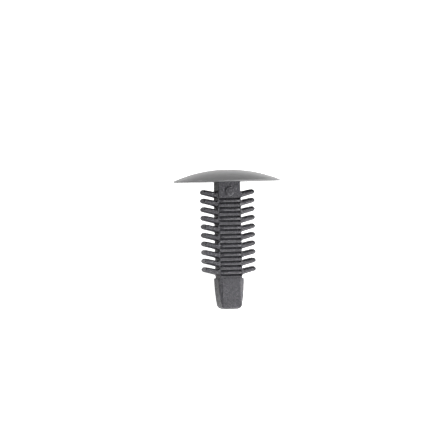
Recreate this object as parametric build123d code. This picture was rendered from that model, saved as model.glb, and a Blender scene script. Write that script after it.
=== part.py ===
from build123d import *
from math import acos, atan2, cos, degrees, hypot, radians, sin, tan
import os

# Plastic push rivet: one nylon moulding. A thin domed head sits on a flat stem that carries a
# fir tree of springy fins down both narrow sides, a ladder of small ribs down both broad faces,
# and a tapered lead-in block at the end. It is pushed into a plain round hole, where the fins
# fold back and hold.
#
# The rivet is drawn upright and is then laid down. Upright, its axis is Z, the underside of the
# head's rim is at Z = 0, the stem hangs below it, the fins reach along X and the ribbed faces
# look along Y. All sizes are millimetres.

# --- head -------------------------------------------------------------------------------------
HEAD_DIAMETER = 20.0
DOME_RISE = 2.07           # height of the domed top above the rim's upper edge
RIM_THICKNESS = 0.25       # height of the upright edge of the rim
RIM_BEVEL = 0.08           # breaks the rim's two corners
SEAT_WIDTH = 1.2           # flat ring under the rim that bears on the panel
DISH_DEPTH = 0.7           # how far the underside is hollowed inside that ring
DISH_FLOOR_RADIUS = 5.2    # where the hollow's cone meets its flat floor round the stem

# --- stem -------------------------------------------------------------------------------------
STEM_LENGTH = 23.8         # from the seat to the end of the block
SHANK_WIDTH = 4.22
SHANK_DEPTH = 3.4          # over the plain plate and the wide ribs
PLATE_LENGTH = 2.97        # plain stretch under the head, before the first groove

# --- fins -------------------------------------------------------------------------------------
FIN_SPAN = 9.9             # from tip to tip
FIN_DEPTH = 3.1
FIN_PITCH = 1.6
FIRST_FIN_DROP = 2.52      # from the seat to the middle of the first fin's root
FIN_ROOT_THICKNESS = 1.0
FIN_TIP_THICKNESS = 0.74
FIN_ROOT_SWEEP = 15.0      # degrees that a fin climbs towards the head where it leaves the shank
FIN_TIP_SWEEP = 12.0       # and at its tip
FIN_ROOT_FILLET = 0.26
FIN_CORNER_RADIUS = 0.5    # rounding of a fin's free corners, seen along the axis
FIN_EMBED = 0.05           # how far each fin's root runs on into the shank

# --- ribs on the broad faces ------------------------------------------------------------------
RIB_CELL = 1.68            # one bevelled rib, one wide rib and the groove above each
GROOVE_WIDTH = 0.35
GROOVE_DEPTH = 0.45
BEVELLED_RIB_THICKNESS = 0.45
BEVELLED_RIB_LIFT = 0.1    # how far the bevelled ribs stand prouder than the wide ones
RIB_BEVEL_WIDTH = 0.75     # of a bevelled rib's ends, along the rib
BEVEL_ANGLE = 21.0         # degrees between a bevel and the broad face beside it, ribs and block alike
RIB_CREST_BEVEL = 0.08     # breaks the long edges of every rib

# --- lead-in block ----------------------------------------------------------------------------
BLOCK_LENGTH = 5.8
BLOCK_DEPTH = 3.64
BLOCK_SHOULDER_WIDTH = 5.02
BLOCK_END_WIDTH = 3.66
BLOCK_SIDE_BULGE = 0.15    # how far each tapering side bows out from a straight line
BLOCK_FACE_WIDTH = 3.4     # of the flat broad faces, between the bevels
BLOCK_CORNER_RADIUS = 0.8  # of the end's corners, seen from the front
BLOCK_END_RADIUS = 0.4     # between the broad faces and the end
BLOCK_SHOULDER_BEVEL = 0.1

# --- ejector pad ------------------------------------------------------------------------------
PAD_DIAMETER = 1.78        # at its foot
PAD_HEIGHT = 0.13
PAD_SLOPE_WIDTH = 0.22     # of its sloping edge, seen from the front
PAD_DROP = 1.78            # from the seat to the pad's centre

# --- how near two places count as the same when an edge or a corner is picked out ---------------
SAME = 0.01

# --- worked out from the sizes above ----------------------------------------------------------
HEAD_RADIUS = HEAD_DIAMETER / 2
HEAD_HEIGHT = RIM_THICKNESS + DOME_RISE
DISH_RADIUS = HEAD_RADIUS - SEAT_WIDTH
SHANK_LENGTH = STEM_LENGTH - BLOCK_LENGTH
CORE_DEPTH = SHANK_DEPTH - 2 * GROOVE_DEPTH
FIN_COUNT = int((SHANK_LENGTH - FIRST_FIN_DROP - FIN_ROOT_THICKNESS) / FIN_PITCH) + 1
RIB_CELLS = round((SHANK_LENGTH - PLATE_LENGTH) / RIB_CELL)


def head():
    """The domed head, turned from half its section, with its underside dished."""
    arc_radius = (HEAD_RADIUS**2 + DOME_RISE**2) / (2 * DOME_RISE)
    half_reach = HEAD_RADIUS / 2
    half_rise = HEAD_HEIGHT - arc_radius + (arc_radius**2 - half_reach**2) ** 0.5
    dome = ThreePointArc((HEAD_RADIUS, RIM_THICKNESS), (half_reach, half_rise), (0, HEAD_HEIGHT))
    underside = Polyline(
        (0, HEAD_HEIGHT),
        (0, DISH_DEPTH),
        (DISH_FLOOR_RADIUS, DISH_DEPTH),
        (DISH_RADIUS, 0),
        (HEAD_RADIUS, 0),
        (HEAD_RADIUS, RIM_THICKNESS),
    )
    section = make_face(dome + underside)
    rim_corners = section.vertices().group_by(Axis.X)[-1]
    return revolve(Plane.XZ * chamfer(rim_corners, RIM_BEVEL), Axis.Z)


def fin_outline(drop):
    """One fin of the right-hand side, seen along Y, with its root inside the shank."""
    root_x = SHANK_WIDTH / 2
    tip_radius = FIN_TIP_THICKNESS / 2
    reach = FIN_SPAN / 2 - tip_radius - root_x
    root_slope = tan(radians(FIN_ROOT_SWEEP))
    tip_slope = tan(radians(FIN_TIP_SWEEP))

    def edge_point(share, side):
        rise = reach * (root_slope * share + (tip_slope - root_slope) * share**2 / 2)
        thickness = FIN_ROOT_THICKNESS + (FIN_TIP_THICKNESS - FIN_ROOT_THICKNESS) * share
        return (root_x + reach * share, rise - drop + side * thickness / 2)

    inside = -root_x / reach / 2
    above = ThreePointArc(*(edge_point(share, 1) for share in (inside, 0.5, 1)))
    below = ThreePointArc(*(edge_point(share, -1) for share in (1, 0.5, inside)))
    middle = edge_point(1, 0)
    tip = ThreePointArc(above @ 1, (middle[0] + tip_radius, middle[1]), below @ 0)
    return make_face(above + tip + below + Line(below @ 1, above @ 0))


def slab(width, depth, top, bottom):
    """A plain slab across the stem between two heights."""
    return Pos(0, 0, (top + bottom) / 2) * Box(width, depth, top - bottom)


def fins():
    """Every fin of both sides, filleted into the shank's flanks and rounded in plan."""
    shank = Pos(0, -SHANK_LENGTH / 2) * Rectangle(SHANK_WIDTH, SHANK_LENGTH)
    right_fins = [fin_outline(FIRST_FIN_DROP + FIN_PITCH * index) for index in range(FIN_COUNT)]
    left_fins = [mirror(fin, Plane.YZ) for fin in right_fins]
    outline = shank + right_fins + left_fins
    root_corners = outline.vertices().filter_by(
        lambda corner: abs(abs(corner.X) - SHANK_WIDTH / 2) < SAME
        and SAME - SHANK_LENGTH < corner.Y < -SAME
    )
    tree = extrude(Plane.XZ * fillet(root_corners, FIN_ROOT_FILLET), FIN_DEPTH / 2, both=True)
    plan = Pos(0, 0, -SHANK_LENGTH) * RectangleRounded(FIN_SPAN, FIN_DEPTH, FIN_CORNER_RADIUS)
    inside = slab(SHANK_WIDTH - 2 * FIN_EMBED, FIN_DEPTH, 0, -SHANK_LENGTH)
    return (tree & extrude(plan, SHANK_LENGTH)) - inside


def rib(depth, top, bottom, bevel=0.0):
    """A rib that runs round both broad faces, with broken crests and, if asked, bevelled ends."""
    body = slab(SHANK_WIDTH, depth, top, bottom)
    if bevel:
        plan = Rectangle(SHANK_WIDTH, depth)
        bevel_depth = bevel * tan(radians(BEVEL_ANGLE))
        body = extrude(Pos(0, 0, bottom) * chamfer(plan.vertices(), bevel, bevel_depth), top - bottom)
    lengthwise = body.edges().filter_by(Axis.X)
    crests = lengthwise.filter_by(lambda edge: abs(edge.center().Y) > depth / 2 - SAME)
    return chamfer(crests, RIB_CREST_BEVEL)


def ribbed_shank():
    """The shank: plain plate, core, and the ladder of bevelled and wide ribs down both faces."""
    shank = slab(SHANK_WIDTH, SHANK_DEPTH, DISH_DEPTH + DOME_RISE / 4, -PLATE_LENGTH)
    shank += slab(SHANK_WIDTH, CORE_DEPTH, 0, -SHANK_LENGTH)
    for index in range(RIB_CELLS):
        bevelled_top = -PLATE_LENGTH - RIB_CELL * index - GROOVE_WIDTH
        bevelled_bottom = bevelled_top - BEVELLED_RIB_THICKNESS
        wide_top = bevelled_bottom - GROOVE_WIDTH
        wide_bottom = -PLATE_LENGTH - RIB_CELL * (index + 1)
        shank += rib(SHANK_DEPTH + 2 * BEVELLED_RIB_LIFT, bevelled_top, bevelled_bottom, RIB_BEVEL_WIDTH)
        shank += rib(SHANK_DEPTH, wide_top, wide_bottom)
    return shank


def block_front_view():
    """The block seen along Y: bowed sides that taper to an end with rounded corners."""
    top = -SHANK_LENGTH
    end = -STEM_LENGTH
    wide = BLOCK_SHOULDER_WIDTH / 2
    narrow = BLOCK_END_WIDTH / 2
    middle = ((wide + narrow) / 2 + BLOCK_SIDE_BULGE, (top + end) / 2)
    right = ThreePointArc((wide, top), middle, (narrow, end))
    left = mirror(right, Plane.YZ)
    outline = make_face(right + left + Line(left @ 0, right @ 0) + Line(right @ 1, left @ 1))
    return fillet(outline.vertices().group_by(Axis.Y)[0], BLOCK_CORNER_RADIUS)


def block_bevels():
    """A prism over a rhombus, whose sides are the bevels at the four corners of the block."""
    slope = tan(radians(BEVEL_ANGLE))
    reach_x = BLOCK_FACE_WIDTH / 2 + BLOCK_DEPTH / 2 / slope
    reach_y = reach_x * slope
    rhombus = make_face(Polyline((reach_x, 0), (0, reach_y), (-reach_x, 0), (0, -reach_y), close=True))
    return extrude(Pos(0, 0, -STEM_LENGTH) * rhombus, BLOCK_LENGTH)


def lead_in_block():
    """The tapered block at the stem's end: bowed sides, rounded end, bevelled corners."""
    block = extrude(Plane.XZ * block_front_view(), BLOCK_DEPTH / 2, both=True)
    end_edges = block.edges().filter_by(
        lambda edge: abs(edge.center().Y) > BLOCK_DEPTH / 2 - SAME
        and edge.center().Z < BLOCK_CORNER_RADIUS - STEM_LENGTH
    )
    block = fillet(end_edges, BLOCK_END_RADIUS)
    block = chamfer(block.edges().group_by(Axis.Z)[-1], BLOCK_SHOULDER_BEVEL)
    return block & block_bevels()


def ejector_pad():
    """The low round pad that the ejector pin leaves on the front of the plain plate."""
    foot_radius = PAD_DIAMETER / 2
    half_section = make_face(
        Polyline(
            (0, -PAD_HEIGHT),
            (foot_radius, -PAD_HEIGHT),
            (foot_radius, 0),
            (foot_radius - PAD_SLOPE_WIDTH, PAD_HEIGHT),
            (0, PAD_HEIGHT),
            close=True,
        )
    )
    return Pos(0, -SHANK_DEPTH / 2, -PAD_DROP) * Rot(90, 0, 0) * revolve(Plane.XZ * half_section, Axis.Z)


def upright_rivet():
    """The whole moulding with its axis along Z."""
    return head() + ribbed_shank() + fins() + lead_in_block() + ejector_pad()


def lying_location():
    """Where the rivet comes to rest, front up: on its rim and on the edge of the block's end.

    The rim touches the floor with its lower corner and the block with its rounded end edge, so
    the floor is the line through that corner that touches the end edge's rounding circle.
    """
    rim_corner = (HEAD_RADIUS, RIM_BEVEL)
    end_centre = (BLOCK_DEPTH / 2 - BLOCK_END_RADIUS, BLOCK_END_RADIUS - STEM_LENGTH)
    across = rim_corner[0] - end_centre[0]
    along = rim_corner[1] - end_centre[1]
    slope = acos(BLOCK_END_RADIUS / hypot(across, along)) - atan2(along, across)
    seat_height = rim_corner[0] * cos(slope) - rim_corner[1] * sin(slope)
    return Pos(0, 0, seat_height) * Rot(degrees(slope) - 90, 0, 0)


def main():
    """Lay the rivet down, centre its length over the origin and write it."""
    rivet = lying_location() * upright_rivet()
    box = rivet.bounding_box()
    rivet = Pos(0, -box.center().Y, 0) * rivet
    os.makedirs("parts", exist_ok=True)
    export_step(rivet, "parts/push_rivet.step")


main()
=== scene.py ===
"""Looks of the plastic push rivet: one dark nylon moulding lying on a pale light table.

The rivet is drawn upright in its own axes, in millimetres and degrees: Z is its axis with the
head on top, the underside of the head's rim is at Z = 0, the fins reach along X and the ribbed
faces look along Y. It is then laid down into the frame, which is in metres.
"""

import logging
import math
from dataclasses import dataclass, field
from enum import Enum

import bmesh
import bpy
from mathutils import Matrix, Vector

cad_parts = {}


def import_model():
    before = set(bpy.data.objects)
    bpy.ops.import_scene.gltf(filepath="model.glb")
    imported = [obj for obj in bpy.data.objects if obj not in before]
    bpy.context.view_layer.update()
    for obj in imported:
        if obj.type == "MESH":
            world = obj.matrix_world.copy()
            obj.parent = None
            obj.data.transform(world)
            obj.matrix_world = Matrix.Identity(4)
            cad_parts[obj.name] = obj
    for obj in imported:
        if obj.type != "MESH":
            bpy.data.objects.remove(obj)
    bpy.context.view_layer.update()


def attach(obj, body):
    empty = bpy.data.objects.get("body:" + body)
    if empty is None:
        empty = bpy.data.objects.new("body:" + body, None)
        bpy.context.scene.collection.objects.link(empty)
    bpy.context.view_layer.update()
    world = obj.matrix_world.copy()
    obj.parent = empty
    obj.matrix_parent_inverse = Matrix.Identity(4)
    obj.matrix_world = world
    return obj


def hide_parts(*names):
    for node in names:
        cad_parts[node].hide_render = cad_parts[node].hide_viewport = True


log = logging.getLogger("push_rivet")

MILLIMETRE = 0.001         # metres
WELD_DISTANCE = 1e-5       # millimetres within which two corners are one
FLAT_TURN = 1e-3           # radians under which a corner counts as straight

Flat = tuple[float, float]
Place = tuple[float, float, float]


class Zone(Enum):
    """The zones that get different skins; each value is a material index. The rim's skin is
    lighter, a painted highlight along the head's edge.
    """

    STEM = 0
    DOME = 1
    # painted highlight: the rim's upper rounding and outer band get a lighter skin than the dome
    RIM_PAINTED_HIGHLIGHT = 2


def arc(centre: Flat, radius: float, start: float, end: float, steps: int) -> list[Flat]:
    """Draw points along a circular arc, both ends included.

    Args:
        centre: Centre of the circle.
        radius: Radius of the circle.
        start: First angle, from the first axis.
        end: Last angle.
        steps: Number of straight pieces.

    Returns:
        steps + 1 points.
    """
    angles = [math.radians(start + (end - start) * step / steps) for step in range(steps + 1)]
    return [(centre[0] + radius * math.cos(angle), centre[1] + radius * math.sin(angle))
            for angle in angles]


def fillet(before: Flat, corner: Flat, after: Flat, radius: float, steps: int) -> list[Flat]:
    """Round one corner of an outline.

    Args:
        before: The point before the corner.
        corner: The corner.
        after: The point after it.
        radius: Radius wanted; it is cut down where a side is too short for it.
        steps: Number of straight pieces.

    Returns:
        steps + 1 points on the rounding arc.
    """
    here = Vector(corner)
    back, ahead = Vector(before) - here, Vector(after) - here
    reach = min(back.length, ahead.length) / 2
    if reach < WELD_DISTANCE:
        return [corner] * (steps + 1)
    half_angle = back.angle(ahead) / 2
    turn = math.pi - 2 * half_angle
    if turn < FLAT_TURN:
        return [corner] * (steps + 1)
    fitted = min(radius, reach * math.tan(half_angle))
    back.normalize()
    ahead.normalize()
    centre = here + (back + ahead).normalized() * (fitted / math.sin(half_angle))
    first = here + back * (fitted / math.tan(half_angle)) - centre
    last = here + ahead * (fitted / math.tan(half_angle)) - centre
    points = []
    for step in range(steps + 1):
        done = step / steps * turn
        left = (1 - step / steps) * turn
        points.append(tuple(centre + (first * math.sin(left) + last * math.sin(done))
                            / math.sin(turn)))
    return points


def rounded(corners: list[Flat], radius: float, steps: int) -> list[Flat]:
    """Round every corner of a convex outline, as fillet() does.

    Args:
        corners: The outline's corners.
        radius: Radius wanted.
        steps: Number of straight pieces in each rounding.

    Returns:
        steps + 1 points for each corner.
    """
    after = corners[1:] + corners[:1]
    return [point for index, corner in enumerate(corners)
            for point in fillet(corners[index - 1], corner, after[index], radius, steps)]


def softened(half_y: float, half_z: float, radius: float, run: float, steps: int) -> list[Flat]:
    """Draw a rectangle whose corners are rounded by stretched arcs, as a mould's draft leaves.

    Args:
        half_y: Half its size along Y.
        half_z: Half its size along Z.
        radius: How far each rounding reaches along Z.
        run: How many times further it reaches along Y.
        steps: Number of straight pieces in each rounding.

    Returns:
        (y, z) points round the rectangle's centre.
    """
    half = half_y / run
    corners = [(half, half_z), (-half, half_z), (-half, -half_z), (half, -half_z)]
    return [(y * run, z) for y, z in rounded(corners, radius, steps)]


def quarter(steps: int) -> list[Flat]:
    """Draw a rounded edge, from the side face up to the end face.

    Args:
        steps: Number of straight pieces.

    Returns:
        (distance below the end face, distance inside the side face) of each point, as shares of
        the radius.
    """
    angles = [math.pi / 2 * step / steps for step in range(steps + 1)]
    return [(1 - math.sin(angle), 1 - math.cos(angle)) for angle in angles]


class Solid:
    """A closed mesh under construction, in the rivet's own axes."""

    def __init__(self, name: str) -> None:
        """Start an empty solid."""
        self.name = name
        self.mesh = bmesh.new()

    def loft(self, rings: list[list[Place]]) -> None:
        """Skin a row of rings and close both ends.

        Args:
            rings: Closed rings, in order, that all have the same number of points.
        """
        rows = [[self.mesh.verts.new(point) for point in ring] for ring in rings]
        for before, after in zip(rows, rows[1:]):
            for index in range(len(before)):
                corners = (before[index - 1], before[index], after[index], after[index - 1])
                self.mesh.faces.new(corners)
        self.mesh.faces.new(rows[0])
        self.mesh.faces.new(rows[-1])

    def revolve(self, section: list[Flat], segments: int, place: Matrix) -> None:
        """Turn a section about Z.

        Args:
            section: (radius, height) points; the first and the last are on the axis.
            segments: Number of straight pieces round the axis.
            place: Where the turned solid is put.
        """
        turns = [2 * math.pi * step / segments for step in range(segments)]
        rings = [[place @ Vector((radius * math.cos(turn), radius * math.sin(turn), height))
                  for turn in turns] for radius, height in section[1:-1]]
        self.loft(rings)
        caps = list(self.mesh.faces)[-2:]      # loft() adds the two ends last
        for cap, height in zip(caps, (section[0][1], section[-1][1])):
            pole = bmesh.ops.poke(self.mesh, faces=[cap])["verts"][0]
            pole.co = place @ Vector((0, 0, height))

    def finished(self) -> bpy.types.Object:
        """Weld the mesh and turn its faces outwards.

        Returns:
            The solid as an object of the scene; this one is used up.
        """
        bmesh.ops.remove_doubles(self.mesh, verts=self.mesh.verts, dist=WELD_DISTANCE)
        bmesh.ops.recalc_face_normals(self.mesh, faces=self.mesh.faces)
        data = bpy.data.meshes.new(self.name)
        self.mesh.to_mesh(data)
        self.mesh.free()
        piece = bpy.data.objects.new(self.name, data)
        bpy.context.scene.collection.objects.link(piece)
        return piece


def bake(piece: bpy.types.Object) -> None:
    """Apply a piece's modifiers to its mesh.

    Args:
        piece: The piece; its modifiers are used up.
    """
    bpy.context.view_layer.update()
    evaluated = piece.evaluated_get(bpy.context.evaluated_depsgraph_get())
    mesh = bpy.data.meshes.new_from_object(evaluated)
    piece.modifiers.clear()
    piece.data = mesh


def join(piece: bpy.types.Object, other: bpy.types.Object) -> None:
    """Join another solid to a piece.

    Args:
        piece: The piece that grows.
        other: The solid that it takes in; it is used up.
    """
    union = piece.modifiers.new("union", "BOOLEAN")
    union.operation = "UNION"
    union.solver = "MANIFOLD"
    union.object = other
    bake(piece)
    bpy.data.objects.remove(other)


@dataclass
class Head:
    """The thin domed head with its hollow underside."""

    radius: float = 10.0
    dome_rise: float = 2.07
    rim_thickness: float = 0.25
    rim_rounding: float = 0.17         # of the rim's upper corner
    seat_rounding: float = 0.1         # of the rim's lower corner
    seat_width: float = 1.2
    dish_depth: float = 0.7
    dish_floor_radius: float = 5.2
    dish_rounding: float = 0.35
    segments: int = 192                # round the axis
    dome_steps: int = 36
    rounding_steps: int = 6

    @property
    def height(self) -> float:
        """From the seat to the top of the dome."""
        return self.rim_thickness + self.dome_rise

    def section(self) -> list[Flat]:
        """Draw half the head's section.

        Returns:
            (radius, height) points from the top of the dome round to the middle of the hollow.
        """
        arc_radius = (self.radius**2 + self.dome_rise**2) / (2 * self.dome_rise)
        edge_angle = math.degrees(math.acos(self.radius / arc_radius))
        dome = arc((0, self.height - arc_radius), arc_radius, 90, edge_angle, self.dome_steps)
        inside_rim = dome[-3]          # far enough in to leave the rim's rounding its room
        rim_top, seat_edge = (self.radius, self.rim_thickness), (self.radius, 0)
        dish_edge = (self.radius - self.seat_width, 0)
        dish_corner = (self.dish_floor_radius, self.dish_depth)
        dish_middle = (0, self.dish_depth)
        steps = self.rounding_steps
        rim = fillet(inside_rim, rim_top, seat_edge, self.rim_rounding, steps)
        rim += fillet(rim_top, seat_edge, (0, 0), self.seat_rounding, steps)
        dish = fillet(seat_edge, dish_edge, dish_corner, self.dish_rounding, steps)
        dish += fillet(dish_edge, dish_corner, dish_middle, self.dish_rounding, steps)
        clear = [point for point in dome if point[0] < rim[0][0] - self.rim_rounding / 2]
        return clear + rim + dish + [dish_middle]

    def build(self) -> bpy.types.Object:
        """Turn the head.

        Returns:
            The head.
        """
        solid = Solid("head")
        solid.revolve(self.section(), self.segments, Matrix.Identity(4))
        return solid.finished()


@dataclass
class Shank:
    """The flat shank: its core, the plate under the head and the ladder of ribs on both faces."""

    width: float = 4.22
    depth: float = 3.4
    length: float = 18.0
    plate_length: float = 2.97
    core_depth: float = 2.5
    flank_relief: float = 0.02         # how far the core's flanks lie inside the ribs' ends
    core_run_in: float = 0.6           # how far the core runs on into the head and the block
    plate_run_in: float = 1.2          # how far the plate runs on into the head
    edge_rounding: float = 0.12
    rib_cell: float = 1.68             # from one bevelled rib to the next
    rib_cells: int = 9
    groove_width: float = 0.35
    bevelled_rib_thickness: float = 0.45
    bevelled_rib_lift: float = 0.1     # by which it is prouder than a full rib
    rib_bevel_width: float = 0.75
    bevel_angle: float = 21.0          # between a rib's bevel and its crest
    crest_rounding: float = 0.16
    crest_draw: float = 0.03           # by which a rib's crest is narrower, on either side
    foot_spread: float = 0.15          # by which a rib's foot is wider, on either side
    foot_depth: float = 2.3            # from foot to foot, inside the core
    rib_end_rounding: float = 0.06
    rib_shoulder_rounding: float = 0.3
    pad_radius: float = 0.89
    pad_height: float = 0.13
    pad_drop: float = 1.78             # from the head's seat down to the pad's middle
    pad_rounding: float = 0.22         # how far in from its rim the pad's top falls
    pad_segments: int = 64
    steps: int = 4                     # in each rounding

    def column(self, name: str, width: float, depth: float, top: float,
               bottom: float) -> bpy.types.Object:
        """Build an upright bar with rounded corners and a rounded lower end.

        Args:
            name: What the bar is called.
            width: Size along X.
            depth: Size along Y.
            top: Height of its upper end.
            bottom: Height of its lower end.

        Returns:
            The bar.
        """
        radius = self.edge_rounding
        levels = [(top, 0.0)]
        levels += [(bottom + radius * below, radius * inset)
                   for below, inset in quarter(self.steps)]
        rings = []
        for height, inset in levels:
            half_x, half_y = width / 2 - inset, depth / 2 - inset
            corners = [(half_x, half_y), (-half_x, half_y), (-half_x, -half_y), (half_x, -half_y)]
            rings.append([(x, y, height) for x, y in rounded(corners, radius, self.steps)])
        solid = Solid(name)
        solid.loft(rings)
        return solid.finished()

    def rib_stations(self, half_depth: float, bevel: float) -> list[Place]:
        """Say where a rib's cross-sections stand, and how deep and how far drawn in each is.

        Args:
            half_depth: From the shank's middle to the rib's crest.
            bevel: How far in from its ends the crest starts to fall; 0 for a full rib.

        Returns:
            (x, half the depth, how far its sides are drawn in) of each, from end to end.
        """
        half_width, radius = self.width / 2, self.rib_end_rounding
        fall = bevel * math.tan(math.radians(self.bevel_angle))
        stations = []
        for draw, inward in quarter(self.steps):
            level = half_depth - fall * (1 - radius * inward / self.rib_bevel_width)
            stations.append((half_width - radius * inward, level - radius * draw, radius * draw))
        if bevel:
            shoulder = fillet((0, half_depth - fall), (bevel, half_depth),
                              (half_width, half_depth), self.rib_shoulder_rounding, self.steps)
            stations += [(half_width - inward, level, 0.0) for inward, level in shoulder]
        return stations + [(-x, level, inset) for x, level, inset in reversed(stations)]

    def rib(self, solid: Solid, depth: float, top: float, bottom: float, bevel: float) -> None:
        """Build one rib that runs across the shank and stands out of both faces.

        Args:
            solid: The mesh that takes it.
            depth: From crest to crest.
            top: Height of its upper side.
            bottom: Height of its lower side.
            bevel: How far in from its ends the crest starts to fall; 0 for a full rib.
        """
        middle, half_foot = (top + bottom) / 2, self.foot_depth / 2
        rings = []
        for x, half_y, inset in self.rib_stations(depth / 2, bevel):
            half_height = (top - bottom) / 2 - inset
            crest, foot = half_height - self.crest_draw, half_height + self.foot_spread
            upper = [(half_y, crest), (half_foot, foot), (-half_foot, foot), (-half_y, crest)]
            corners = upper + [(-y, -z) for y, z in upper]
            section = rounded(corners, self.crest_rounding, self.steps)
            rings.append([(x, y, middle + z) for y, z in section])
        solid.loft(rings)

    def ribs(self) -> bpy.types.Object:
        """Build every rib of the ladder, bevelled and full ones in turn.

        Returns:
            The ribs, as one object.
        """
        solid = Solid("ribs")
        for cell in range(self.rib_cells):
            bevelled_top = -self.plate_length - self.rib_cell * cell - self.groove_width
            bevelled_bottom = bevelled_top - self.bevelled_rib_thickness
            full_top = bevelled_bottom - self.groove_width
            full_bottom = -self.plate_length - self.rib_cell * (cell + 1)
            lifted = self.depth + 2 * self.bevelled_rib_lift
            self.rib(solid, lifted, bevelled_top, bevelled_bottom, self.rib_bevel_width)
            self.rib(solid, self.depth, full_top, full_bottom, 0.0)
        return solid.finished()

    def ejector_pad(self) -> bpy.types.Object:
        """Build the low round pad that the ejector pin leaves on the plate.

        Returns:
            The pad, in its place on the plate.
        """
        slope = math.atan2(self.pad_height, self.pad_rounding)
        arc_radius = self.pad_height / (1 - math.cos(2 * slope))
        centre = (self.pad_radius - arc_radius * math.sin(2 * slope),
                  self.pad_height - arc_radius)
        section = [(0, self.pad_height)]
        section += arc(centre, arc_radius, 90, 90 - 2 * math.degrees(slope), self.steps)
        section += [(self.pad_radius, -self.pad_height), (0, -self.pad_height)]
        facing_front = Matrix.Rotation(math.pi / 2, 4, "X")
        place = Matrix.Translation((0, -self.depth / 2, -self.pad_drop)) @ facing_front
        solid = Solid("ejector_pad")
        solid.revolve(section, self.pad_segments, place)
        return solid.finished()

    def build(self) -> bpy.types.Object:
        """Join the core, the plate, the ribs and the ejector pad.

        Returns:
            The shank.
        """
        core_width = self.width - 2 * self.flank_relief
        core_bottom = -self.length - self.core_run_in
        shank = self.column("shank", core_width, self.core_depth, self.core_run_in, core_bottom)
        join(shank, self.column("plate", self.width, self.depth, self.plate_run_in,
                                -self.plate_length))
        join(shank, self.ribs())
        join(shank, self.ejector_pad())
        return shank


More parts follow.
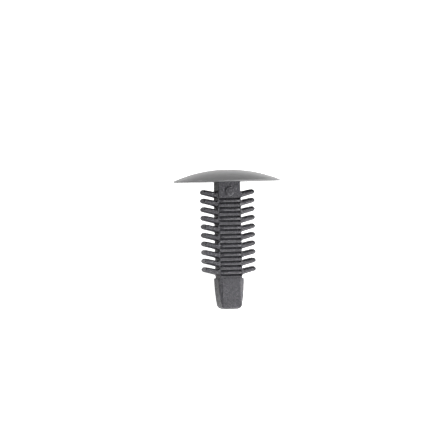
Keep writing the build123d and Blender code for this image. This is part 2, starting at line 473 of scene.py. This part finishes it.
@dataclass
class Fins:
    """The two combs of springy fins."""

    span: float = 9.9                  # over the tips of both combs
    depth: float = 3.1
    pitch: float = 1.6
    count: int = 10
    first_drop: float = 2.52           # from the head's seat down to the first fin's root
    foot_span: float = 4.36            # across the webs between the fins' feet
    root_thickness: float = 1.09
    tip_thickness: float = 0.97
    tip_bluntness: float = 0.7         # reach of a tip's rounding, in halves of its thickness
    root_sweep: float = 15.0           # how steeply a fin rises at its root
    tip_sweep: float = 12.0            # and at its tip
    root_share: float = 0.1            # share of a fin's reach that its root's slope is taken over
    root_fillet: float = 0.26
    corner_radius: float = 0.22        # of the tip's corners, seen from above
    edge_rounding: float = 0.37
    edge_run: float = 2.4              # how many times further the edges' rounding reaches along Y
    fullest_rounding: float = 0.96     # share of half a fin's thickness that it takes at most
    foot_softness: float = 0.12        # share of the edges' rounding that a fin's foot has
    embed: float = 0.15                # how far a fin's foot runs on into the shank
    blade_steps: int = 8
    tip_steps: int = 8
    steps: int = 5                     # in each rounding

    @property
    def reach(self) -> float:
        """From the webs to the middle of a fin's rounded tip."""
        return (self.span - self.tip_bluntness * self.tip_thickness - self.foot_span) / 2

    def edge_point(self, share: float, side: int) -> Flat:
        """Find a point on the upper or lower edge of a fin.

        Args:
            share: How far out it is, as a share of the fin's reach.
            side: 1 for the upper edge, -1 for the lower one.

        Returns:
            Its (x, z).
        """
        root_slope = math.tan(math.radians(self.root_sweep))
        tip_slope = math.tan(math.radians(self.tip_sweep))
        rise = self.reach * (root_slope * share + (tip_slope - root_slope) * share**2 / 2)
        thickness = self.root_thickness + (self.tip_thickness - self.root_thickness) * share
        return self.foot_span / 2 + self.reach * share, rise + side * thickness / 2

    def root_arc(self, side: int) -> list[Flat]:
        """Draw the fillet between the web and an edge of a fin.

        Args:
            side: 1 for the upper edge, -1 for the lower one.

        Returns:
            (x, z) points, from the web outwards.
        """
        start, ahead = self.edge_point(0, side), self.edge_point(self.root_share, side)
        slope = math.atan2(ahead[1] - start[1], ahead[0] - start[0])
        radius = self.root_fillet
        above = start[1] + radius * math.tan(slope) + side * radius / math.cos(slope)
        end = 180 + side * 90 + math.degrees(slope)
        return arc((start[0] + radius, above), radius, 180, end, self.steps)

    def outline(self) -> list[tuple[Flat, Flat]]:
        """Draw a fin as it is seen from the front.

        Returns:
            Pairs of points on its upper and lower edge, from inside the shank to the tip.
        """
        upper, lower = self.root_arc(1), self.root_arc(-1)
        inside = self.foot_span / 2 - self.embed
        pairs = [((inside, upper[0][1]), (inside, lower[0][1]))] + list(zip(upper, lower))
        first = (max(upper[-1][0], lower[-1][0]) - self.foot_span / 2) / self.reach
        for step in range(1, self.blade_steps + 1):
            share = first + (1 - first) * step / self.blade_steps
            pairs.append((self.edge_point(share, 1), self.edge_point(share, -1)))
        tip_x = self.foot_span / 2 + self.reach
        tip_z = (pairs[-1][0][1] + pairs[-1][1][1]) / 2
        for out, half_height in arc((0, 0), self.tip_thickness / 2, 90, 0, self.tip_steps)[1:]:
            x = tip_x + self.tip_bluntness * out
            pairs.append(((x, tip_z + half_height), (x, tip_z - half_height)))
        return pairs

    def half_depth(self, x: float) -> float:
        """Find half the fin's depth, with its rounded free corners.

        Args:
            x: Distance from the rivet's axis.

        Returns:
            Half the depth there.
        """
        past = max(x - (self.span / 2 - self.corner_radius), 0.0)
        rounding = math.sqrt(max(self.corner_radius**2 - past**2, 0))
        return self.depth / 2 - self.corner_radius + rounding

    def softness(self, x: float) -> float:
        """The share of the edges' rounding at a distance from the axis; the foot is squarer."""
        return max(self.foot_softness, min(1.0, (x - self.foot_span / 2) / self.root_fillet))

    def blade(self, solid: Solid, drop: float, side: int) -> None:
        """Build one fin, lofted through rounded cross-sections.

        Args:
            solid: The mesh that takes it.
            drop: From the head's seat down to the fin's root.
            side: 1 for the right comb, -1 for the left one.
        """
        rings = []
        for upper, lower in self.outline():
            centre = (Vector(upper) + Vector(lower)) / 2
            across = (Vector(upper) - Vector(lower)) / 2
            half_height = max(across.length, WELD_DISTANCE)
            rounding = min(self.edge_rounding * self.softness(centre.x),
                           self.fullest_rounding * half_height)
            section = softened(self.half_depth(centre.x), half_height, rounding, self.edge_run,
                               self.steps)
            rings.append([(side * (centre.x + across.x * z / half_height), y,
                           centre.y + across.y * z / half_height - drop) for y, z in section])
        solid.loft(rings)

    def build(self) -> bpy.types.Object:
        """Build every fin of both combs.

        Returns:
            The fins, as one object.
        """
        solid = Solid("fins")
        for index in range(self.count):
            for side in (1, -1):
                self.blade(solid, self.first_drop + self.pitch * index, side)
        return solid.finished()


@dataclass
class LeadInBlock:
    """The tapered block at the stem's end: bowed sides, rounded end, bevelled corners."""

    top: float = -18.0                 # where the shank ends
    length: float = 5.8
    depth: float = 3.64
    shoulder_width: float = 5.02
    end_width: float = 3.66
    side_bulge: float = 0.15           # of each side, half way up
    face_width: float = 3.4            # between the bevels
    bevel_angle: float = 21.0
    corner_radius: float = 0.8         # of the end's corners, seen from the front
    end_radius: float = 0.4            # of the end's edges, seen from the side
    shoulder_rounding: float = 0.14
    edge_rounding: float = 0.16
    side_steps: int = 14
    end_steps: int = 10
    steps: int = 4                     # in each rounding

    def half_width(self, above_end: float) -> float:
        """Find half the block's width, without the end's rounding.

        Args:
            above_end: Height above the block's end.

        Returns:
            Half the width there.
        """
        share = above_end / self.length
        straight = (self.end_width + (self.shoulder_width - self.end_width) * share) / 2
        return straight + self.side_bulge * 4 * share * (1 - share)

    @staticmethod
    def drawn_in(above_end: float, radius: float) -> float:
        """How far a rounded edge draws a face in at a height above the end."""
        missing = max(radius - above_end, 0.0)
        return radius - math.sqrt(max(radius**2 - missing**2, 0.0))

    def ring(self, above_end: float, inset: float) -> list[Place]:
        """Draw the block's outline at one height, with its bevelled and rounded corners.

        Args:
            above_end: Height above the block's end.
            inset: How far the shoulder's rounding draws it in.

        Returns:
            The outline's points.
        """
        slope = math.tan(math.radians(self.bevel_angle))
        half_x = self.half_width(above_end) - self.drawn_in(above_end, self.corner_radius) - inset
        half_y = self.depth / 2 - self.drawn_in(above_end, self.end_radius) - inset
        bevel_reach = self.depth / 2 + self.face_width / 2 * slope - inset
        face_x = min(half_x - self.edge_rounding, (bevel_reach - half_y) / slope)
        side_y = min(half_y - self.edge_rounding * slope, bevel_reach - half_x * slope)
        half = [(half_x, -side_y), (half_x, side_y), (face_x, half_y), (-face_x, half_y)]
        outline = rounded(half + [(-x, -y) for x, y in half], self.edge_rounding, self.steps)
        return [(x, y, self.top - self.length + above_end) for x, y in outline]

    def build(self) -> bpy.types.Object:
        """Loft the block from its end up to its shoulder.

        Returns:
            The block.
        """
        rings = []
        for step in range(self.end_steps):
            share = 1 - math.cos(math.pi / 2 * step / self.end_steps)
            rings.append(self.ring(self.corner_radius * share, 0.0))
        side_top = self.length - self.shoulder_rounding
        for step in range(self.side_steps):
            above_corner = (side_top - self.corner_radius) * step / self.side_steps
            rings.append(self.ring(self.corner_radius + above_corner, 0.0))
        for below, inset in quarter(self.steps):
            rings.append(self.ring(self.length - self.shoulder_rounding * below,
                                   self.shoulder_rounding * inset))
        solid = Solid("lead_in_block")
        solid.loft(rings)
        return solid.finished()


class GrainGroup:
    """The shader node group that gives a moulded skin its grain."""

    NUMBERS = ("Grain Size", "Mottle", "Specks", "Roughness")
    SPECK_SHARE = 0.5          # size of the specks, as a share of the grain's
    GRAIN_DETAIL = 4.0         # how many finer noises ride on the grain's blotches
    SPECK_DETAIL = 1.0
    NOISE_ROUGHNESS = 0.6      # how strong the finer noises are
    BLOTCH_SPAN = (0.3, 0.7)   # noise values of the darkest and the lightest blotch
    SPECK_SPAN = (0.56, 0.74)  # noise values at which a speck begins and is at its lightest

    def __init__(self) -> None:
        """Open the group with its inputs and outputs."""
        self.tree = bpy.data.node_groups.new("moulded_grain", "ShaderNodeTree")
        for label in self.NUMBERS:
            self.socket(label, "INPUT", "NodeSocketFloat")
        self.socket("Colour", "INPUT", "NodeSocketColor")
        self.socket("Colour", "OUTPUT", "NodeSocketColor")
        self.socket("Roughness", "OUTPUT", "NodeSocketFloat")
        self.socket("Height", "OUTPUT", "NodeSocketFloat")
        self.inlet = self.tree.nodes.new("NodeGroupInput")
        self.place = self.tree.nodes.new("ShaderNodeTexCoord")

    def socket(self, label: str, in_out: str, kind: str) -> None:
        """Add a named input or output."""
        self.tree.interface.new_socket(label, in_out=in_out, socket_type=kind)

    def maths(self, operation: str,
              *values: bpy.types.NodeSocket | float) -> bpy.types.NodeSocket:
        """Add a Math node.

        Args:
            operation: What it does, in Blender's word for it.
            values: The sockets or plain numbers that it takes.

        Returns:
            The socket with its result.
        """
        node = self.tree.nodes.new("ShaderNodeMath")
        node.operation = operation
        for taker, value in zip(node.inputs, values):
            if isinstance(value, bpy.types.NodeSocket):
                self.tree.links.new(value, taker)
            else:
                taker.default_value = value
        return node.outputs[0]

    def noise(self, size: bpy.types.NodeSocket, detail: float) -> bpy.types.NodeSocket:
        """Add a noise over the piece.

        Args:
            size: The size of its blotches, in millimetres.
            detail: How many finer noises ride on them.

        Returns:
            The socket with the noise, from 0 to 1.
        """
        node = self.tree.nodes.new("ShaderNodeTexNoise")
        node.inputs["Detail"].default_value = detail
        node.inputs["Roughness"].default_value = self.NOISE_ROUGHNESS
        self.tree.links.new(self.place.outputs["Object"], node.inputs["Vector"])
        self.tree.links.new(self.maths("DIVIDE", 1 / MILLIMETRE, size), node.inputs["Scale"])
        return node.outputs["Fac"]

    def spread(self, value: bpy.types.NodeSocket, span: Flat,
               lowest: float) -> bpy.types.NodeSocket:
        """Stretch a span of a value's range, and hold the value within it.

        Args:
            value: The value.
            span: The value's limits before.
            lowest: Its lower limit afterwards; the upper one is 1.

        Returns:
            The socket with the stretched value.
        """
        node = self.tree.nodes.new("ShaderNodeMapRange")
        node.inputs["From Min"].default_value, node.inputs["From Max"].default_value = span
        node.inputs["To Min"].default_value = lowest
        self.tree.links.new(value, node.inputs["Value"])
        return node.outputs["Result"]

    def build(self) -> bpy.types.NodeTree:
        """Wire the grain, its blotches and its specks to the outputs.

        Returns:
            The group.
        """
        links, given = self.tree.links, self.inlet.outputs
        grain = self.noise(given["Grain Size"], self.GRAIN_DETAIL)
        speck_size = self.maths("MULTIPLY", given["Grain Size"], self.SPECK_SHARE)
        high_spots = self.spread(self.noise(speck_size, self.SPECK_DETAIL), self.SPECK_SPAN, 0.0)
        specks = self.maths("MULTIPLY", high_spots, given["Specks"])
        blotches = self.spread(grain, self.BLOTCH_SPAN, -1.0)
        mottle = self.maths("MULTIPLY", blotches, given["Mottle"])
        wander = self.maths("ADD", self.maths("ADD", mottle, specks), 1.0)
        tone = self.tree.nodes.new("ShaderNodeVectorMath")
        tone.operation = "SCALE"
        links.new(given["Colour"], tone.inputs[0])
        links.new(wander, tone.inputs["Scale"])
        smoothness = self.maths("SQRT", wander)     # what is lighter is also smoother
        outlet = self.tree.nodes.new("NodeGroupOutput").inputs
        links.new(tone.outputs["Vector"], outlet["Colour"])
        links.new(self.maths("DIVIDE", given["Roughness"], smoothness), outlet["Roughness"])
        links.new(self.maths("ADD", grain, specks), outlet["Height"])
        return self.tree


@dataclass(frozen=True)
class MouldedNylon:
    """A dark nylon skin as it leaves the mould; the rim's lighter copy paints a highlight."""

    name: str
    colour: tuple[float, float, float]
    roughness: float
    grain_size: float          # millimetres from one blotch of the spark-eroded grain to the next
    grain_height: float        # millimetres
    mottle: float              # share by which the tone wanders from blotch to blotch
    specks: float              # share by which the grain's small high spots are lighter
    gloss: float               # the shader's own measure of how much the skin mirrors
    refraction: float = 1.53   # nylon's index

    def material(self, grain: bpy.types.NodeTree) -> bpy.types.Material:
        """Make the material.

        Args:
            grain: The shared group that gives it its grain.

        Returns:
            The material.
        """
        material = bpy.data.materials.new(self.name)
        material.use_nodes = True
        tree = material.node_tree
        skin = tree.nodes.new("ShaderNodeGroup")
        skin.node_tree = grain
        skin.inputs["Grain Size"].default_value = self.grain_size
        skin.inputs["Mottle"].default_value = self.mottle
        skin.inputs["Specks"].default_value = self.specks
        skin.inputs["Colour"].default_value = (*self.colour, 1)
        skin.inputs["Roughness"].default_value = self.roughness
        bump = tree.nodes.new("ShaderNodeBump")
        bump.inputs["Distance"].default_value = self.grain_height * MILLIMETRE
        shader = tree.nodes["Principled BSDF"].inputs
        shader["IOR"].default_value = self.refraction
        shader["Specular IOR Level"].default_value = self.gloss
        tree.links.new(skin.outputs["Height"], bump.inputs["Height"])
        tree.links.new(skin.outputs["Colour"], shader["Base Color"])
        tree.links.new(skin.outputs["Roughness"], shader["Roughness"])
        tree.links.new(bump.outputs["Normal"], shader["Normal"])
        return material


@dataclass
class PushRivet:
    """The whole moulding, lying front up as it comes to rest."""

    head: Head = field(default_factory=Head)
    shank: Shank = field(default_factory=Shank)
    fins: Fins = field(default_factory=Fins)
    block: LeadInBlock = field(default_factory=LeadInBlock)
    rim_bevel: float = 0.08        # how far above the seat the rim touches the floor
    smooth_angle: float = 35.0     # edges that turn less than this are shaded smooth
    flat_weight: int = 80          # how strongly the flats set the shading of their roundings
    sliver: float = 1e-4           # edges shorter than this are left over from the joins

    def slope(self) -> float:
        """Work out how the rivet lies on the rim of its head and the end of its block.

        Returns:
            How far its axis leans up from the floor, in radians.
        """
        end_y = self.block.depth / 2 - self.block.end_radius
        end_z = self.block.top - self.block.length + self.block.end_radius
        across, along = self.head.radius - end_y, self.rim_bevel - end_z
        return (math.acos(self.block.end_radius / math.hypot(across, along))
                - math.atan2(along, across))

    def lay_down(self, rivet: bpy.types.Object) -> Matrix:
        """Lay the drawn rivet on the floor with its length centred over the origin.

        Args:
            rivet: The piece, still in the rivet's own axes.

        Returns:
            The way from the rivet's own axes to the frame.
        """
        slope = self.slope()
        height = self.head.radius * math.cos(slope) - self.rim_bevel * math.sin(slope)
        lean = Matrix.Rotation(slope - math.pi / 2, 4, "X")
        lying = Matrix.Translation((0, 0, height)) @ lean
        along = [(lying @ vertex.co).y for vertex in rivet.data.vertices]
        centring = Matrix.Translation((0, -(min(along) + max(along)) / 2, 0))
        laid_down = Matrix.Scale(MILLIMETRE, 4) @ centring @ lying
        rivet.data.transform(laid_down)
        return laid_down

    def build(self, skins: list[bpy.types.Material]) -> bpy.types.Object:
        """Join the parts of the moulding into one mesh and dress it.

        Args:
            skins: The materials of the zones, in the order of Zone.

        Returns:
            The piece, upright in the rivet's own axes.
        """
        rivet = self.shank.build()
        rivet.name = "moulded_rivet"
        for part in (self.fins, self.block, self.head):
            join(rivet, part.build())
        self.dress(rivet, skins)
        self.smooth(rivet)
        return rivet

    def dress(self, rivet: bpy.types.Object, skins: list[bpy.types.Material]) -> None:
        """Give each zone its skin.

        Args:
            rivet: The piece, upright in the rivet's own axes.
            skins: The materials of the zones, in the order of Zone.
        """
        rivet.data.materials.clear()
        for skin in skins:
            rivet.data.materials.append(skin)
        for face in rivet.data.polygons:
            face.material_index = self.zone(face.center).value

    def zone(self, place: Vector) -> Zone:
        """Tell which zone a face belongs to; the rim's outer band is the zone of the painted
        highlight.

        Args:
            place: The middle of the face, in the rivet's own axes.

        Returns:
            Its zone.
        """
        if place.z < -WELD_DISTANCE:
            return Zone.STEM
        # painted highlight: faces on the rim's upper rounding and outer band get the lighter rim
        # skin
        outside = math.hypot(place.x, place.y) > self.head.radius - self.head.rim_rounding
        return Zone.RIM_PAINTED_HIGHLIGHT if outside and place.z > WELD_DISTANCE else Zone.DOME

    def trim(self, mesh: bmesh.types.BMesh) -> None:
        """Delete the crumbs and the slivers that the joins leave behind.

        Args:
            mesh: The joined rivet.
        """
        top = max(mesh.verts, key=lambda vertex: vertex.co.z)
        joined, front = {top}, [top]
        while front:
            vertex = front.pop()
            fresh = {edge.other_vert(vertex) for edge in vertex.link_edges} - joined
            joined |= fresh
            front.extend(fresh)
        crumbs = [vertex for vertex in mesh.verts if vertex not in joined]
        bmesh.ops.delete(mesh, geom=crumbs, context="VERTS")
        bmesh.ops.dissolve_degenerate(mesh, edges=mesh.edges, dist=self.sliver)

    def smooth(self, rivet: bpy.types.Object) -> None:
        """Shade the roundings smooth, and keep the flats flat and the inner corners crisp.

        Args:
            rivet: The joined rivet.
        """
        mesh = bmesh.new()
        mesh.from_mesh(rivet.data)
        self.trim(mesh)
        limit = math.radians(self.smooth_angle)
        for edge in mesh.edges:
            edge.smooth = len(edge.link_faces) == 2 and edge.calc_face_angle(0.0) < limit
        for face in mesh.faces:
            face.smooth = True
        mesh.to_mesh(rivet.data)
        mesh.free()
        flats = rivet.modifiers.new("flats", "WEIGHTED_NORMAL")
        flats.keep_sharp = True
        flats.weight = self.flat_weight
        bake(rivet)


@dataclass(frozen=True)
class GlowPatch:
    """A part of the light table that shines onto the rivet, with soft edges; in metres."""

    low: Flat                  # its corner with the lowest X and Y
    high: Flat                 # its opposite corner
    strength: float
    softness: float = 0.002    # the distance over which it fades

    def mask(self, tree: bpy.types.NodeTree, place: bpy.types.NodeSocket) -> bpy.types.NodeSocket:
        """Add the nodes that give the patch's glow.

        Args:
            tree: The table's node tree.
            place: The socket that gives the place on the table.

        Returns:
            The socket with the patch's strength inside it, fading to 0 outside.
        """
        split = tree.nodes.new("ShaderNodeSeparateXYZ")
        tree.links.new(place, split.inputs[0])
        edges = (("X", self.low[0], 1), ("X", self.high[0], -1),
                 ("Y", self.low[1], 1), ("Y", self.high[1], -1))
        product = None
        for axis, edge, inside in edges:
            fade = tree.nodes.new("ShaderNodeMapRange")
            fade.interpolation_type = "SMOOTHSTEP"
            fade.inputs["From Min"].default_value = edge - inside * self.softness / 2
            fade.inputs["From Max"].default_value = edge + inside * self.softness / 2
            tree.links.new(split.outputs[axis], fade.inputs["Value"])
            share = tree.nodes.new("ShaderNodeMath")
            share.operation = "MULTIPLY"
            share.inputs[1].default_value = self.strength
            tree.links.new(fade.outputs["Result"], share.inputs[0])
            if product is not None:
                tree.links.new(product, share.inputs[1])
            product = share.outputs[0]
        return product


@dataclass(frozen=True)
class OpalGlass:
    """The table's glass: evenly pale to look at, and glowing onto the rivet through patches."""

    tone: float = 0.8
    roughness: float = 0.9
    gloss: float = 0.1         # the shader's own measure of how much it mirrors
    seen_tone: float = 1.05    # how bright it looks, whatever it shines onto the rivet
    patches: tuple[GlowPatch, ...] = (
        GlowPatch((-0.5, -0.0133), (-0.0005, 0.0), 0.36),
        GlowPatch((-0.02, 0.0133), (0.02, 0.025), 0.55),
    )

    def material(self) -> bpy.types.Material:
        """Make the material.

        Returns:
            The material.
        """
        material = bpy.data.materials.new("opal_glass")
        material.use_nodes = True
        nodes, links = material.node_tree.nodes, material.node_tree.links
        shader = nodes["Principled BSDF"].inputs
        shader["Base Color"].default_value = (self.tone, self.tone, self.tone, 1)
        shader["Roughness"].default_value = self.roughness
        shader["Specular IOR Level"].default_value = self.gloss
        shader["Emission Color"].default_value = (1, 1, 1, 1)

        place = nodes.new("ShaderNodeTexCoord").outputs["Object"]
        glow = None
        for patch in self.patches:
            mask = patch.mask(material.node_tree, place)
            if glow is None:
                glow = mask
                continue
            total = nodes.new("ShaderNodeMath")
            total.operation = "ADD"
            links.new(glow, total.inputs[0])
            links.new(mask, total.inputs[1])
            glow = total.outputs[0]
        ray = nodes.new("ShaderNodeLightPath")
        seen = nodes.new("ShaderNodeMix")
        links.new(ray.outputs["Is Camera Ray"], seen.inputs["Factor"])
        links.new(glow, seen.inputs["A"])
        seen.inputs["B"].default_value = self.seen_tone
        links.new(seen.outputs["Result"], shader["Emission Strength"])
        return material


@dataclass
class LightTable:
    """The pale table that the rivet lies on."""

    size: float = 3.0          # metres
    glass: OpalGlass = field(default_factory=OpalGlass)

    def build(self) -> bpy.types.Object:
        """Make the table's top.

        Returns:
            The top, at floor height.
        """
        mesh = bmesh.new()
        bmesh.ops.create_grid(mesh, x_segments=1, y_segments=1, size=self.size / 2)
        data = bpy.data.meshes.new("light_table")
        mesh.to_mesh(data)
        mesh.free()
        data.materials.append(self.glass.material())
        table = bpy.data.objects.new("light_table", data)
        bpy.context.scene.collection.objects.link(table)
        return table


@dataclass(frozen=True)
class Softbox:
    """One square soft light that looks at the rivet."""

    name: str
    place: Place               # metres
    power: float               # watts
    size: float = 0.35         # metres

    def build(self) -> None:
        """Hang the light; the camera doesn't see it."""
        light = bpy.data.lights.new(self.name, "AREA")
        light.shape = "SQUARE"
        light.size = self.size
        light.energy = self.power
        lamp = bpy.data.objects.new(self.name, light)
        lamp.location = self.place
        lamp.rotation_euler = (-Vector(self.place)).to_track_quat("-Z", "Y").to_euler()
        lamp.visible_camera = False
        bpy.context.scene.collection.objects.link(lamp)


@dataclass
class Studio:
    """A pale light table with soft light all round it."""

    table: LightTable = field(default_factory=LightTable)
    softboxes: tuple[Softbox, ...] = (
        Softbox("tip_right", (0.305, -0.561, 0.296), 3.7),
        Softbox("front_right", (0.164, 0.099, 0.682), 1.37),
        Softbox("low_tip_right", (0.414, -0.556, 0.106), 6.3),
        Softbox("right", (0.617, -0.121, 0.316), 2.9),
        Softbox("head_left", (-0.495, 0.466, 0.177), 2.25),
        Softbox("front_head", (-0.139, 0.258, 0.645), 0.78),
        Softbox("head_right", (0.324, 0.248, 0.578), 0.9),
        Softbox("left", (-0.679, -0.041, 0.173), 0.6),
    )

    def surround(self) -> None:
        """Put a white surround behind the table's edge; it is seen, but lights nothing."""
        world = bpy.data.worlds.new("studio")
        bpy.context.scene.world = world
        world.use_nodes = True
        background = world.node_tree.nodes["Background"].inputs
        background["Color"].default_value = (1, 1, 1, 1)
        background["Strength"].default_value = self.table.glass.seen_tone
        world.cycles_visibility.diffuse = False
        world.cycles_visibility.glossy = False

    def build(self) -> None:
        """Set up the table, the surround, the tone curve and the lights."""
        self.table.build()
        self.surround()
        bpy.context.scene.view_settings.view_transform = "Standard"
        for softbox in self.softboxes:
            softbox.build()


@dataclass
class ProductCamera:
    """A long lens that looks square at the rivet's side."""

    frame_pixels: float = 448.0
    pixels_per_millimetre: float = 5.35
    seat_pixel: Flat = (226.9, 181.75)     # where the middle of the head's seat shows
    turn: float = 16.1                     # round the rivet's axis, from its front to its left
    rise: float = 0.3                      # above the head's rim
    roll: float = 1.217                    # by which the rivet's head leans to the left
    distance: float = 600.0
    sensor: float = 36.0
    nearest: float = 10.0                  # what is nearer than this isn't drawn

    def build(self, laid_down: Matrix) -> None:
        """Place the camera.

        Args:
            laid_down: The way from the rivet's own axes to the frame.
        """
        axes = laid_down.to_3x3().normalized()
        turn, rise, roll = (math.radians(angle) for angle in (self.turn, self.rise, self.roll))
        out = Vector((-math.sin(turn) * math.cos(rise), -math.cos(turn) * math.cos(rise),
                      math.sin(rise)))
        aside = Vector((math.cos(turn), -math.sin(turn), 0))
        above = out.cross(aside)
        right = axes @ (aside * math.cos(roll) - above * math.sin(roll))
        up = axes @ (aside * math.sin(roll) + above * math.cos(roll))
        away = axes @ out
        scale = MILLIMETRE / self.pixels_per_millimetre
        across = (self.frame_pixels / 2 - self.seat_pixel[0]) * scale
        down = (self.frame_pixels / 2 - self.seat_pixel[1]) * scale
        aim = laid_down.translation + right * across - up * down
        place = Matrix.Translation(aim + away * (self.distance * MILLIMETRE))
        lens = bpy.data.cameras.new("product_camera")
        lens.sensor_width = self.sensor
        lens.lens = self.sensor * self.distance * self.pixels_per_millimetre / self.frame_pixels
        lens.clip_start = self.nearest * MILLIMETRE
        camera = bpy.data.objects.new("product_camera", lens)
        camera.matrix_world = place @ Matrix((right, up, away)).transposed().to_4x4()
        bpy.context.scene.collection.objects.link(camera)
        bpy.context.scene.camera = camera


def skins() -> list[bpy.types.Material]:
    """Make the rivet's three skins, which share one grain; the rim's skin is a lighter copy that
    paints a highlight along the head's edge.

    Returns:
        The materials, in the order of Zone.
    """
    stem = MouldedNylon("stem_nylon", colour=(0.0398, 0.0388, 0.0447), roughness=0.42,
                        grain_size=0.42, grain_height=0.042, mottle=0.55, specks=1.3, gloss=0.5)
    dome = MouldedNylon("dome_nylon", colour=(0.088, 0.088, 0.089), roughness=0.3,
                        grain_size=0.5, grain_height=0.003, mottle=0.06, specks=0.0, gloss=0.2)
    # painted highlight: the rim gets about twice the dome's tone, standing in for light caught
    # along the head's edge
    rim = MouldedNylon("rim_painted_highlight", colour=(0.19, 0.19, 0.192), roughness=0.35,
                       grain_size=0.5, grain_height=0.003, mottle=0.06, specks=0.0, gloss=0.3)
    grain = GrainGroup().build()
    return [skin.material(grain) for skin in (stem, dome, rim)]


def main() -> None:
    """Load the frame, dress the rivet and set up the studio."""
    logging.basicConfig(level=logging.INFO, format="%(message)s")
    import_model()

    rivet = PushRivet()
    piece = rivet.build(skins())
    laid_down = rivet.lay_down(piece)
    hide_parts("push_rivet")
    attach(piece, "root")
    log.info("%s: %d faces", piece.name, len(piece.data.polygons))

    studio = Studio()
    studio.build()
    log.info("light_table: %d soft lights", len(studio.softboxes))
    ProductCamera().build(laid_down)


if __name__ == "__main__":
    main()
